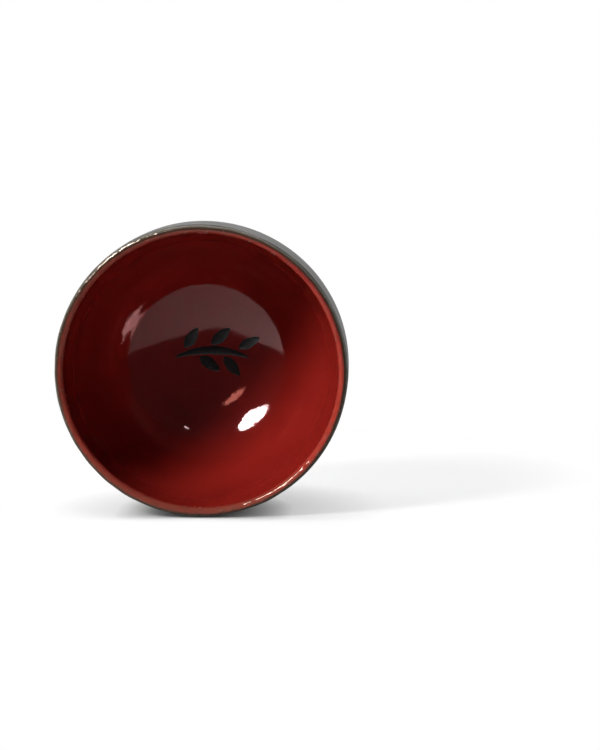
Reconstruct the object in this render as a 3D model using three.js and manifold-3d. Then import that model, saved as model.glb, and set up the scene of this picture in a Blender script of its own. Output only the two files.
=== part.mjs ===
// A handleless tea cup thrown in dark stoneware: a clay body on a luted foot ring, a red glaze that
// lines the inside and wraps over the lip, a satin dark coat outside, and a brushed sprig in the well.
// Millimetres, +Z up. The origin is the centre of the foot ring's resting face.
import * as THREE from 'three';
import { mergeVertices } from 'three/addons/utils/BufferGeometryUtils.js';
import Module from 'manifold-3d';

// Driving dimensions: the cup's form
const RIM_DIAMETER = 90; // over the dark coat, where the wall is widest
const CUP_HEIGHT = 55; // from the resting face to the top of the glazed lip
const LIP_THICKNESS = 1.4; // clay, where both faces of the wall stand upright
const LIP_CROWN = 1.1; // height of the rounded lip above the upright walls
const WALL_UPRIGHT = 15; // the outside stands upright this far below the lip, then curves in
const WALL_FULLNESS = 2.3; // outside curve: 2 is an ellipse, more is squarer
const WELL_FULLNESS = 2.45; // inside curve, in the same measure
const FLOOR_THICKNESS = 3; // clay, at the middle of the well

// Driving dimensions: the foot ring
const FOOT_DIAMETER = 40; // outside, where it joins the body
const FOOT_WIDTH = 4.5; // of its root against the body
const FOOT_HEIGHT = 5.2;
const FOOT_TAPER = 0.6; // each side leans in by this towards the ground
const FOOT_BEVEL = 0.6; // at both edges of the resting face
const FOOT_SHOULDER = 1; // width of the body's underside outside the ring

// Driving dimensions: the coats
const LINER_COAT = 0.5; // red glaze inside
const LIP_COAT = 0.45; // red glaze over the lip, where it runs thin
const OUTER_COAT = 0.35; // dark coat outside
const LIP_BAND = 1.5; // inside, the lip's glaze ends this far below the top of the upright wall
const LIP_EDGE = THREE.MathUtils.degToRad(25); // outside, at this turn of the rounded lip, 0 being upright
const OUTER_EDGE = 0.2; // the dark coat ends this far below the top of the upright wall
const GLAZE_STOP = 2.2; // the dark coat stops this far above the body's underside

// Driving dimensions: the brushed sprig
const STEM_SPAN = 25;
const STEM_RISE = 2.4; // of the bowed stem's middle above its ends
const STEM_WIDTH = 2.6;
const LEAF_COUNT = 5;
const LEAF_LENGTH = 8;
const LEAF_WIDTH = 3.6;
const LEAF_ANGLE = THREE.MathUtils.degToRad(42); // between a leaf and the stem
const LEAF_GAP = 0.6; // bare glaze between the stem and a leaf
const LEAF_ROOT_HANDLE = 0.15; // where the leaf's outline is pulled out near its root, along its length
const LEAF_TIP_HANDLE = 0.7; // and near its tip
const PIGMENT = 0.3; // thickness of the brushed pigment
const SPRIG_TURN = Math.PI; // the sprig reads upright from the +Y side

// Clearance between one layer and the next, and fineness of the curves
const LAYER_GAP = 0.1;
const SEGMENTS = 48;
const WALL_STEPS = 10;
const WELL_STEPS = 13;
const LIP_STEPS = 3; // on each side of the crown
const BRUSH_STEPS = 5;

// Clay sizes that follow from the finished ones
const clayRadius = RIM_DIAMETER / 2 - OUTER_COAT - LAYER_GAP;
const clayTop = CUP_HEIGHT - LIP_COAT - LAYER_GAP;
const uprightTop = clayTop - LIP_CROWN;
const innerRadius = clayRadius - LIP_THICKNESS;
const footRadius = FOOT_DIAMETER / 2;
const bodyBase = FOOT_HEIGHT + LAYER_GAP;
const baseRadius = footRadius + FOOT_SHOULDER;
const wallDepth = uprightTop - bodyBase;
const wellDepth = wallDepth - FLOOR_THICKNESS;
const baseShare = (1 - (baseRadius / clayRadius) ** WALL_FULLNESS) ** (1 / WALL_FULLNESS);
const wallReach = (wallDepth - WALL_UPRIGHT) / baseShare;

// A cubic curve with two level handles reaches this share of their height.
const CUBIC_PEAK = 0.75;

// A turn this near a right angle, in radians, puts a curve's end on the axis.
const AXIS_TOLERANCE = 1e-9;

// Points of a bowl's curve, from one depth below its upright top to another.
// The reach is the depth at which the curve meets the axis.
function bowlCurve(radius, reach, fullness, top, fromDepth, toDepth, steps) {
  const turnAt = (depth) => Math.asin(Math.min(1, depth / reach) ** (fullness / 2));
  const fromTurn = turnAt(fromDepth);
  const toTurn = turnAt(toDepth);
  const points = [];
  for (let i = 0; i <= steps; i++) {
    const turn = THREE.MathUtils.lerp(fromTurn, toTurn, i / steps);
    const reached = Math.abs(turn - Math.PI / 2) < AXIS_TOLERANCE ? 0 : Math.cos(turn) ** (2 / fullness);
    points.push(new THREE.Vector2(radius * reached, top - reach * Math.sin(turn) ** (2 / fullness)));
  }
  return points;
}

// Runs along the clay's skin, in order: up the outside, over the lip, down the inside.
// Their depths are below the top of the upright walls.
function outsideRun(fromDepth, toDepth) {
  const top = uprightTop - WALL_UPRIGHT;
  const fromCurve = fromDepth - WALL_UPRIGHT;
  const curve = bowlCurve(clayRadius, wallReach, WALL_FULLNESS, top, fromCurve, 0, WALL_STEPS);
  return [...curve, new THREE.Vector2(clayRadius, uprightTop - toDepth)];
}

function insideRun(fromDepth, toDepth) {
  return bowlCurve(innerRadius, wellDepth, WELL_FULLNESS, uprightTop, fromDepth, toDepth, WELL_STEPS);
}

// The rounded lip, from a turn above its outside, over its crown, to just short of the upright inside.
function lipRun(fromTurn) {
  const points = [];
  const middle = innerRadius + LIP_THICKNESS / 2;
  const crownTurn = Math.PI / 2;
  for (const [from, to] of [[fromTurn, crownTurn], [crownTurn, Math.PI]]) {
    for (let i = 0; i < LIP_STEPS; i++) {
      const turn = THREE.MathUtils.lerp(from, to, i / LIP_STEPS);
      const radius = middle + (LIP_THICKNESS / 2) * Math.cos(turn);
      points.push(new THREE.Vector2(radius, uprightTop + LIP_CROWN * Math.sin(turn)));
    }
  }
  return points;
}

// A run moved off the clay by a distance, square to the skin.
function offsetRun(run, distance) {
  return run.map((point, i) => {
    if (point.x === 0) return new THREE.Vector2(0, point.y + distance);
    const ahead = run[Math.min(i + 1, run.length - 1)];
    const behind = run[Math.max(i - 1, 0)];
    const along = ahead.clone().sub(behind).normalize();
    return new THREE.Vector2(point.x + distance * along.y, point.y - distance * along.x);
  });
}

// The closed section of a coat on a run of skin, between two distances off the clay.
function coatSection(run, near, far) {
  const section = [...offsetRun(run, near).reverse(), ...offsetRun(run, far)];
  if (section[0].x > 0) section.push(section[0].clone());
  return section;
}

// A section turned about the cup's axis.
function turned(section) {
  const geometry = new THREE.LatheGeometry(section, SEGMENTS);
  geometry.rotateX(Math.PI / 2);
  return geometry;
}

function clayBodySection() {
  return [
    new THREE.Vector2(0, bodyBase),
    ...outsideRun(wallDepth, 0).slice(0, -1),
    ...lipRun(0),
    ...insideRun(0, wellDepth),
  ];
}

function footRingSection() {
  const rootOut = footRadius;
  const rootIn = footRadius - FOOT_WIDTH;
  const groundOut = rootOut - FOOT_TAPER;
  const groundIn = rootIn + FOOT_TAPER;
  const corners = [
    [groundIn + FOOT_BEVEL, 0],
    [groundOut - FOOT_BEVEL, 0],
    [groundOut, FOOT_BEVEL],
    [rootOut, FOOT_HEIGHT],
    [rootIn, FOOT_HEIGHT],
    [groundIn, FOOT_BEVEL],
    [groundIn + FOOT_BEVEL, 0],
  ];
  return corners.map(([radius, height]) => new THREE.Vector2(radius, height));
}

// Where each coat lies on the skin. The upright stretch under the lip is straight enough for one step.
const lipCoatRun = [...lipRun(LIP_EDGE), insideRun(0, LIP_BAND)[0], insideRun(0, LIP_BAND)[WELL_STEPS]];
const linerRun = insideRun(LIP_BAND + LAYER_GAP, wellDepth);
const outerCoatRun = outsideRun(wallDepth - GLAZE_STOP, OUTER_EDGE);

// Solids for the brushed strokes
const wasm = await Module();
wasm.setup();

function toSolid(geometry) {
  const bare = geometry.clone();
  bare.deleteAttribute('normal');
  bare.deleteAttribute('uv');
  const merged = mergeVertices(bare);
  return new wasm.Manifold(
    new wasm.Mesh({
      numProp: 3,
      vertProperties: new Float32Array(merged.attributes.position.array),
      triVerts: new Uint32Array(merged.index.array),
    }),
  );
}

function toGeometry(solid) {
  const mesh = solid.getMesh();
  const geometry = new THREE.BufferGeometry();
  geometry.setAttribute('position', new THREE.BufferAttribute(mesh.vertProperties, 3));
  geometry.setIndex(new THREE.BufferAttribute(mesh.triVerts, 1));
  geometry.computeVertexNormals();
  return geometry;
}

// The layer that all the strokes lie in: a skin of pigment on the liner's glaze.
const pigmentNear = LAYER_GAP + LINER_COAT + LAYER_GAP;
const pigmentSkin = toSolid(turned(coatSection(linerRun, pigmentNear, pigmentNear + PIGMENT)));

// A stroke is its outline, carried up through the pigment skin and kept only inside it.
function brushed(outline) {
  const block = new THREE.ExtrudeGeometry(outline, {
    depth: CUP_HEIGHT,
    bevelEnabled: false,
    curveSegments: BRUSH_STEPS,
  });
  block.rotateZ(SPRIG_TURN);
  return toGeometry(toSolid(block).intersect(pigmentSkin));
}

// The stem's middle line, bowed, with the sprig's middle on the cup's axis.
const stemLine = new THREE.QuadraticBezierCurve(
  new THREE.Vector2(-STEM_SPAN / 2, -STEM_RISE / 2),
  new THREE.Vector2(0, (STEM_RISE * 3) / 2),
  new THREE.Vector2(STEM_SPAN / 2, -STEM_RISE / 2),
);

// A tapered stroke along a bowed line, pointed at both ends.
function stemOutline() {
  const { v0: start, v1: bow, v2: end } = stemLine;
  const outline = new THREE.Shape();
  outline.moveTo(start.x, start.y);
  outline.quadraticCurveTo(bow.x, bow.y - STEM_WIDTH, end.x, end.y);
  outline.quadraticCurveTo(bow.x, bow.y + STEM_WIDTH, start.x, start.y);
  return outline;
}

// A leaf is one press of the brush: full near its root and drawn out to a tip.
function leafOutline(index) {
  const share = (index + 1) / (LEAF_COUNT + 1);
  const side = index % 2 === 0 ? 1 : -1;
  const along = stemLine.getTangent(share);
  const square = new THREE.Vector2(-along.y, along.x).multiplyScalar(side);
  const root = stemLine.getPoint(share).addScaledVector(square, STEM_WIDTH / 2 + LEAF_GAP);
  const origin = new THREE.Vector2();
  const place = (length, width) => {
    const point = new THREE.Vector2(length, width).rotateAround(origin, along.angle() + side * LEAF_ANGLE);
    return point.add(root);
  };
  const tip = place(LEAF_LENGTH, 0);
  const outline = new THREE.Shape();
  outline.moveTo(root.x, root.y);
  for (const [edge, target] of [[-1, tip], [1, root]]) {
    const pull = (edge * LEAF_WIDTH) / 2 / CUBIC_PEAK;
    const nearRoot = place(LEAF_LENGTH * LEAF_ROOT_HANDLE, pull);
    const nearTip = place(LEAF_LENGTH * LEAF_TIP_HANDLE, pull);
    const [first, second] = target === tip ? [nearRoot, nearTip] : [nearTip, nearRoot];
    outline.bezierCurveTo(first.x, first.y, second.x, second.y, target.x, target.y);
  }
  return outline;
}

// Finishes
const darkClay = new THREE.MeshStandardMaterial({ color: '#4e423a', roughness: 0.85, metalness: 0 });
const redGlaze = new THREE.MeshStandardMaterial({ color: '#791914', roughness: 0.08, metalness: 0 });
const thinRedGlaze = new THREE.MeshStandardMaterial({ color: '#8b382d', roughness: 0.15, metalness: 0 });
const darkCoat = new THREE.MeshStandardMaterial({ color: '#504e4b', roughness: 0.5, metalness: 0 });
const blackPigment = new THREE.MeshStandardMaterial({ color: '#120f0d', roughness: 0.2, metalness: 0 });

// Assembly
const cup = new THREE.Group();

function addPiece(name, geometry, material) {
  const mesh = new THREE.Mesh(geometry, material);
  mesh.name = name;
  cup.add(mesh);
}

addPiece('clay_body', turned(clayBodySection()), darkClay);
addPiece('foot_ring', turned(footRingSection()), darkClay);
addPiece('liner_glaze', turned(coatSection(linerRun, LAYER_GAP, LAYER_GAP + LINER_COAT)), redGlaze);
addPiece('lip_glaze', turned(coatSection(lipCoatRun, LAYER_GAP, LAYER_GAP + LIP_COAT)), thinRedGlaze);
addPiece('outer_coat', turned(coatSection(outerCoatRun, LAYER_GAP, LAYER_GAP + OUTER_COAT)), darkCoat);
addPiece('sprig_stem', brushed(stemOutline()), blackPigment);
for (let i = 0; i < LEAF_COUNT; i++) {
  addPiece(`sprig_leaf_${i + 1}`, brushed(leafOutline(i)), blackPigment);
}

export default cup;
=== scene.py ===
"""Looks of a handleless stoneware tea cup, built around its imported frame.

A glossy red glaze lines the cup and wraps over its lip, a satin dark coat covers the outside, the foot is
bare dark clay, and a black sprig is brushed in the well. Sizes are in millimetres and turns in radians
unless a name says otherwise. Meshes, lamps and the camera are placed in metres, in the frame's own axes.
"""
import logging
import math
from abc import ABC, abstractmethod
from collections.abc import Callable, Mapping, Sequence
from dataclasses import dataclass
from enum import Enum

import bpy
import numpy as np
from mathutils import Matrix, Vector


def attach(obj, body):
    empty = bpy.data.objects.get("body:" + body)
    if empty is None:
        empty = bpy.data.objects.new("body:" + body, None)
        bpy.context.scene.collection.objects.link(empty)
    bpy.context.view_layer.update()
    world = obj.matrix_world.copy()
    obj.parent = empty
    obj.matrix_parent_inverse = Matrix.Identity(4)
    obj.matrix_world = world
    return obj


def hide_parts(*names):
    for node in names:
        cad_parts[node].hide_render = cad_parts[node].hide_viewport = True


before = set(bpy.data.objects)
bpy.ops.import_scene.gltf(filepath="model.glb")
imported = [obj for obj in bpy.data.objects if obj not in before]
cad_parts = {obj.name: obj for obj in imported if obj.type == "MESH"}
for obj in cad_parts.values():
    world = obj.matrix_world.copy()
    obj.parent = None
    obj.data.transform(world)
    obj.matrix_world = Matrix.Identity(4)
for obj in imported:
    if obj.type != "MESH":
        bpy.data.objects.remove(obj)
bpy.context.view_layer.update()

LOG = logging.getLogger("tea_cup")
BODY = "root"
METRES = 0.001
FULL_TURN = 2.0 * math.pi
QUARTER_TURN = math.pi / 2.0

# Limits are the two ends of a soft step or a span, and Inputs are the values and links of a node's sockets.
Colour = tuple[float, float, float]
Point = tuple[float, float, float]
Limits = tuple[float, float]
Socket = bpy.types.NodeSocket
Inputs = Mapping[str | int, object]
Thickness = Callable[[np.ndarray, np.ndarray], np.ndarray]
WHITE: Colour = (1.0, 1.0, 1.0)


class Slot(Enum):
    """The record's material slots."""

    DARK_CLAY = "dark_clay"
    RED_GLAZE = "red_glaze"
    THIN_RED_GLAZE = "thin_red_glaze"
    DARK_COAT = "dark_coat"
    BLACK_PIGMENT = "black_pigment"


class Side(Enum):
    """The side of the stem that a leaf is brushed on."""

    UPPER = 1.0
    LOWER = -1.0


class Fade(Enum):
    """What a sheet of the stage clears to for the camera, and where."""

    OUTWARD = "to nothing, away from the cup's axis"
    AROUND = "to white, away from the shadow that the cup throws"
    ALL = "to white, everywhere"


class Ray(Enum):
    """The kinds of ray that the stage and the room tell apart."""

    CAMERA = "Is Camera Ray"
    GLOSS = "Is Glossy Ray"


class LampShape(Enum):
    """The outline of a lamp."""

    OVAL = "ELLIPSE"
    STRIP = "RECTANGLE"


class LampUse(Enum):
    """What a lamp is seen in."""

    BOTH = "matt and gloss"
    MATT = "matt only"
    GLOSS = "gloss only"


@dataclass(frozen=True)
class Grain:
    """The character of a noise.

    Its size is that of its largest patches, its layers are the finer ones that it has, and its roughness is
    how strong those are.
    """

    size: float
    layers: float = 3.0
    roughness: float = 0.5


@dataclass(frozen=True)
class Specks:
    """Scattered round specks.

    The spacing lies between the cells that may hold a speck, and the share is that of the cells that do. A
    speck is full in its core, a share of its radius.
    """

    spacing: float
    radius: float
    share: float
    core: float = 0.4


@dataclass(frozen=True)
class Value:
    """A number socket whose operators add Math nodes."""

    graph: "Graph"
    socket: Socket

    def __add__(self, other: "Value | float") -> "Value":
        """Sum."""
        return self.graph.math("ADD", self, other)

    def __radd__(self, other: float) -> "Value":
        """Sum with a number first."""
        return self.graph.math("ADD", other, self)

    def __sub__(self, other: "Value | float") -> "Value":
        """Difference."""
        return self.graph.math("SUBTRACT", self, other)

    def __rsub__(self, other: float) -> "Value":
        """Difference with a number first."""
        return self.graph.math("SUBTRACT", other, self)

    def __mul__(self, other: "Value | float") -> "Value":
        """Product."""
        return self.graph.math("MULTIPLY", self, other)

    def __rmul__(self, other: float) -> "Value":
        """Product with a number first."""
        return self.graph.math("MULTIPLY", other, self)

    def rise(self, low: float, high: float) -> "Value":
        """A soft step of this value.

        Args:
            low: where the step starts from 0.
            high: where it has reached 1; below low, the step falls instead.

        Returns:
            The step's value, between 0 and 1.
        """
        start, end = (low, high) if low < high else (high, low)
        ends = (0.0, 1.0) if low < high else (1.0, 0.0)
        made = self.graph.node(
            "ShaderNodeMapRange",
            {"interpolation_type": "SMOOTHSTEP"},
            {"Value": self, "From Min": start, "From Max": end, "To Min": ends[0], "To Max": ends[1]},
        )
        return Value(self.graph, made.outputs["Result"])


Link = Value | Socket


class Graph:
    """Adds the nodes of one material or world."""

    MIX_FACTOR = 0
    MIX_FIRST = 6
    MIX_SECOND = 7
    MIX_RESULT = 2

    def __init__(self, tree: bpy.types.NodeTree) -> None:
        """Starts from an empty tree."""
        self.tree = tree
        self.tree.nodes.clear()

    def node(self, kind: str, settings: Mapping[str, object], sockets: Inputs) -> bpy.types.Node:
        """Adds one node.

        Args:
            kind: the node's type.
            settings: its own properties, set before its sockets.
            sockets: a value or a link for each named or numbered input.

        Returns:
            The new node.
        """
        made = self.tree.nodes.new(kind)
        for name, setting in settings.items():
            setattr(made, name, setting)
        for key, given in sockets.items():
            if isinstance(given, Value):
                self.tree.links.new(given.socket, made.inputs[key])
            elif isinstance(given, Socket):
                self.tree.links.new(given, made.inputs[key])
            else:
                made.inputs[key].default_value = given
        return made

    def math(self, operation: str, first: Value | float, second: Value | float) -> Value:
        """A Math node on two operands."""
        made = self.node("ShaderNodeMath", {"operation": operation}, {0: first, 1: second})
        return Value(self, made.outputs["Value"])

    def vector(self, operation: str, sockets: Inputs) -> Socket:
        """A Vector Math node's vector result."""
        return self.node("ShaderNodeVectorMath", {"operation": operation}, sockets).outputs["Vector"]

    def length(self, vector: Socket) -> Value:
        """A vector's length."""
        made = self.node("ShaderNodeVectorMath", {"operation": "LENGTH"}, {0: vector})
        return Value(self, made.outputs["Value"])

    def place(self) -> Socket:
        """The point on the surface, in millimetres of the cup's frame."""
        coordinates = self.node("ShaderNodeTexCoord", {}, {})
        return self.vector("SCALE", {0: coordinates.outputs["Object"], "Scale": 1.0 / METRES})

    def parts(self, vector: Socket) -> tuple[Value, ...]:
        """A vector's three numbers."""
        made = self.node("ShaderNodeSeparateXYZ", {}, {"Vector": vector})
        return tuple(Value(self, made.outputs[axis]) for axis in "XYZ")

    def stretched(self, place: Socket, across: float, along: float) -> Socket:
        """The point scaled by one amount across the axis and by another along it."""
        return self.vector("MULTIPLY", {0: place, 1: (across, across, along)})

    def radius(self, place: Socket) -> Value:
        """The point's distance from the cup's axis."""
        return self.length(self.stretched(place, 1.0, 0.0))

    def noise(self, place: Socket, grain: Grain) -> Value:
        """Smooth noise.

        Args:
            place: the point that it is read at.
            grain: its character, in the point's units.

        Returns:
            The noise, around a half.
        """
        sockets = {
            "Vector": place,
            "Scale": 1.0 / grain.size,
            "Detail": grain.layers,
            "Roughness": grain.roughness,
        }
        made = self.node("ShaderNodeTexNoise", {"noise_dimensions": "3D"}, sockets)
        return Value(self, made.outputs["Fac"])

    def specks(self, place: Socket, specks: Specks) -> Value:
        """Scattered round specks.

        Args:
            place: the point that they are read at.
            specks: their sizes, in the point's units.

        Returns:
            One inside a speck, nothing outside it.
        """
        sockets = {"Vector": place, "Scale": 1.0 / specks.spacing, "Randomness": 1.0}
        cells = self.node("ShaderNodeTexVoronoi", {"feature": "F1"}, sockets)
        edge = specks.radius / specks.spacing
        near = Value(self, cells.outputs["Distance"]).rise(edge, specks.core * edge)
        shade = self.node("ShaderNodeSeparateColor", {}, {"Color": cells.outputs["Color"]})
        held = self.math("GREATER_THAN", Value(self, shade.outputs["Red"]), 1.0 - specks.share)
        return near * held

    def mix(self, factor: Link | float, first: Link | Colour, second: Link | Colour) -> Socket:
        """A colour between two colours.

        Args:
            factor: the second colour's share.
            first: the colour at a share of 0.
            second: the colour at a share of 1.

        Returns:
            The mixed colour.
        """
        ends = [(*end, 1.0) if isinstance(end, tuple) else end for end in (first, second)]
        sockets = {self.MIX_FACTOR: factor, self.MIX_FIRST: ends[0], self.MIX_SECOND: ends[1]}
        made = self.node("ShaderNodeMix", {"data_type": "RGBA"}, sockets)
        return made.outputs[self.MIX_RESULT]

    def blend(self, factor: Value, first: Socket, second: Socket) -> Socket:
        """A mix of two shaders."""
        return self.node("ShaderNodeMixShader", {}, {0: factor, 1: first, 2: second}).outputs["Shader"]

    def bump(self, height: Value, depth: float) -> Socket:
        """The normal of a surface that stands out by height times a depth in millimetres."""
        sockets = {"Height": height, "Strength": 1.0, "Distance": depth * METRES}
        return self.node("ShaderNodeBump", {}, sockets).outputs["Normal"]

    def ray(self, kind: Ray) -> Value:
        """One for rays of a kind, and nothing for the others."""
        return Value(self, self.node("ShaderNodeLightPath", {}, {}).outputs[kind.value])

    def surface(self, sockets: Inputs) -> None:
        """Ends a material in one Principled shader."""
        self.finish(self.node("ShaderNodeBsdfPrincipled", {}, sockets).outputs["BSDF"])

    def finish(self, shader: Socket) -> None:
        """Ends a material in a shader."""
        self.node("ShaderNodeOutputMaterial", {}, {"Surface": shader})


def new_material(name: str) -> tuple[bpy.types.Material, Graph]:
    """Makes an empty node material.

    Args:
        name: the material's name.

    Returns:
        The material and the graph that fills it.
    """
    material = bpy.data.materials.new(name)
    material.use_nodes = True
    return material, Graph(material.node_tree)


@dataclass(frozen=True)
class RedGlaze:
    """Deep red glaze, glossy, pooled a little darker in patches, with pinholes and a faint ripple."""

    name: str = "red_glaze"
    full: Colour = (0.192, 0.0100, 0.0072)
    pooled: Colour = (0.172, 0.0085, 0.0063)
    pinhole: Colour = (0.050, 0.0050, 0.0042)
    sheen: Colour = (1.0, 0.66, 0.66)
    refraction: float = 1.70
    gloss: float = 0.03
    patch_dulling: float = 0.03
    pinhole_dulling: float = 0.3
    patch: Grain = Grain(13.0, 4.0, 0.55)
    pooling: Limits = (0.40, 0.72)
    ripple: Grain = Grain(1.3, 2.0)
    ripple_heights: Limits = (34.0, 17.0)
    scatter: Specks = Specks(7.5, 0.17, 0.15)
    relief: float = 0.020
    pinhole_depth: float = 2.0

    def material(self) -> bpy.types.Material:
        """Mixes the glaze.

        Returns:
            The glaze as a material.
        """
        material, graph = new_material(self.name)
        place = graph.place()
        patches = graph.noise(place, self.patch)
        ripple = graph.noise(place, self.ripple)
        deep = graph.parts(place)[2].rise(*self.ripple_heights)
        holes = graph.specks(place, self.scatter)
        colour = graph.mix(patches.rise(*self.pooling), self.full, self.pooled)
        colour = graph.mix(holes, colour, self.pinhole)
        graph.surface({
            "Base Color": colour,
            "Roughness": self.gloss + self.patch_dulling * patches + self.pinhole_dulling * holes,
            "IOR": self.refraction,
            "Specular Tint": (*self.sheen, 1.0),
            "Normal": graph.bump(deep * ripple - self.pinhole_depth * holes, self.relief),
        })
        return material


@dataclass(frozen=True)
class ThinGlaze:
    """The same red broken thin over the lip.

    Its broken red is painted lighter toward the cup's -X, painted light on that side, with deep red
    pooled on the outer edge there. It is brown in rubbed patches, and painted darker brown toward the cup's
    +Y, where the rim touches the sheet, a painted shade. Its outer face is rubbed bare, with tan specks,
    and dusty where it meets the coat. Edges are radii about the band's own centre, and the limits across
    and toward are the cup's X and Y.
    """

    name: str = "thin_red_glaze"
    full: Colour = (0.210, 0.0140, 0.0105)
    broken: Colour = (0.258, 0.0400, 0.0260)
    # Painted light: the lighter red on one side of the lip.
    painted_light_red: Colour = (0.315, 0.0345, 0.0225)
    # Rubbed brown, also the painted shade on the side where the rim touches the sheet.
    worn_and_shaded: Colour = (0.128, 0.0350, 0.0235)
    bare: Colour = (0.046, 0.0250, 0.0170)
    dusty: Colour = (0.088, 0.0780, 0.0620)
    speck: Colour = (0.420, 0.3100, 0.2200)
    sheen: Colour = (1.0, 0.82, 0.70)
    refraction: float = 1.5
    gloss: float = 0.05
    fine_dulling: float = 0.06
    patch_dulling: float = 0.20
    wander: Grain = Grain(5.0, 4.0, 0.6)
    wander_stretch: float = 0.4
    fine: Grain = Grain(0.8, 3.0)
    mottle: Grain = Grain(2.2, 5.0, 0.65)
    lump: Grain = Grain(2.4, 1.0)
    scatter: Specks = Specks(1.3, 0.14, 0.22)
    thin_heights: Limits = (53.1, 55.3)
    thin_wander: float = 1.2
    # Painted light: where the lighter red comes in across the cup's X.
    painted_light_across: Limits = (5.0, -38.0)
    worn_patches: Limits = (0.50, 0.66)
    # Painted shade: where and how strongly the lip's crest darkens toward the sheet, along the cup's Y.
    painted_shade_toward: Limits = (22.0, 44.0)
    patch_wear: float = 0.45
    painted_shade_share: float = 0.60
    band_centre: Point = (0.0, 0.25, 0.0)
    edge_wander: float = 0.5
    edge_fray: float = 0.2
    edge_shift: float = 0.35
    pooled_across: Limits = (0.0, -30.0)
    pooled_toward: Limits = (12.0, -20.0)
    pooled_edge: Limits = (42.85, 43.25)
    pooled_cover: float = 0.25
    bare_edge: Limits = (43.40, 43.95)
    speck_edge: Limits = (43.40, 43.70)
    dusty_edge: Limits = (44.25, 44.65)
    relief: float = 0.05
    lump_height: float = 7.0
    fine_height: float = 0.3

    def material(self) -> bpy.types.Material:
        """Mixes the glaze.

        Returns:
            The glaze as a material.
        """
        material, graph = new_material(self.name)
        place = graph.place()
        across, toward, height = graph.parts(place)
        reach = graph.radius(graph.vector("SUBTRACT", {0: place, 1: self.band_centre}))
        wander = graph.noise(graph.stretched(place, 1.0, self.wander_stretch), self.wander)
        fine = graph.noise(place, self.fine)
        lumps = graph.noise(place, self.lump)
        patches = graph.noise(place, self.mottle).rise(*self.worn_patches)
        thin = (height + self.thin_wander * wander).rise(*self.thin_heights)
        outward = reach + self.edge_wander * wander + self.edge_fray * fine - self.edge_shift
        pooled = across.rise(*self.pooled_across) * toward.rise(*self.pooled_toward)
        # Brown in rubbed patches, plus painted shade that darkens the crest toward the cup's +Y, where the
        # rim touches the sheet.
        wear_and_shade = self.patch_wear * patches + self.painted_shade_share * toward.rise(*self.painted_shade_toward)
        rubbed = (outward - self.pooled_cover * pooled).rise(*self.bare_edge)
        dots = graph.specks(place, self.scatter) * outward.rise(*self.speck_edge)
        # Painted light: the broken red turns lighter toward the cup's -X.
        colour = graph.mix(across.rise(*self.painted_light_across), self.broken, self.painted_light_red)
        colour = graph.mix(thin, self.full, colour)
        colour = graph.mix(wear_and_shade * thin, colour, self.worn_and_shaded)
        colour = graph.mix(pooled * outward.rise(*self.pooled_edge), colour, self.full)
        colour = graph.mix(rubbed, colour, self.bare)
        colour = graph.mix(outward.rise(*self.dusty_edge), colour, self.dusty)
        colour = graph.mix(dots, colour, self.speck)
        graph.surface({
            "Base Color": colour,
            "Roughness": self.gloss + self.fine_dulling * fine + self.patch_dulling * patches,
            "IOR": self.refraction,
            "Specular Tint": (*self.sheen, 1.0),
            "Normal": graph.bump(self.lump_height * lumps + wander + self.fine_height * fine, self.relief),
        })
        return material


@dataclass(frozen=True)
class DarkCoat:
    """Dark grey coat, satin, with fine lines round it from the wheel and a faint pale speckle."""

    name: str = "dark_coat"
    base: Colour = (0.080, 0.077, 0.071)
    deep: Colour = (0.054, 0.052, 0.049)
    speckle: Colour = (0.145, 0.138, 0.125)
    edge: Colour = (0.019, 0.017, 0.013)
    refraction: float = 1.5
    satin: float = 0.42
    cloud_dulling: float = 0.12
    grain_dulling: float = 0.10
    line: Grain = Grain(0.55, 3.0, 0.6)
    line_stretch: float = 0.03
    cloud: Grain = Grain(9.0, 4.0, 0.55)
    grain: Grain = Grain(0.45, 2.0)
    line_shade: float = 0.6
    cloud_shade: float = 0.6
    shading: Limits = (0.38, 0.80)
    scatter: Specks = Specks(1.7, 0.16, 0.4)
    speckle_strength: float = 0.55
    edge_heights: Limits = (51.6, 53.2)
    edge_wander: float = 1.5
    relief: float = 0.045
    grain_height: float = 0.35

    def material(self) -> bpy.types.Material:
        """Mixes the coat.

        Returns:
            The coat as a material.
        """
        material, graph = new_material(self.name)
        place = graph.place()
        lines = graph.noise(graph.stretched(place, self.line_stretch, 1.0), self.line)
        clouds = graph.noise(place, self.cloud)
        grain = graph.noise(place, self.grain)
        dots = graph.specks(place, self.scatter)
        shade = self.line_shade * lines + self.cloud_shade * clouds
        colour = graph.mix(shade.rise(*self.shading), self.base, self.deep)
        colour = graph.mix(dots * self.speckle_strength, colour, self.speckle)
        height = graph.parts(place)[2] + self.edge_wander * clouds
        colour = graph.mix(height.rise(*self.edge_heights), colour, self.edge)
        graph.surface({
            "Base Color": colour,
            "Roughness": self.satin + self.cloud_dulling * clouds + self.grain_dulling * grain,
            "IOR": self.refraction,
            "Normal": graph.bump(lines + self.grain_height * grain, self.relief),
        })
        return material


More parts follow.
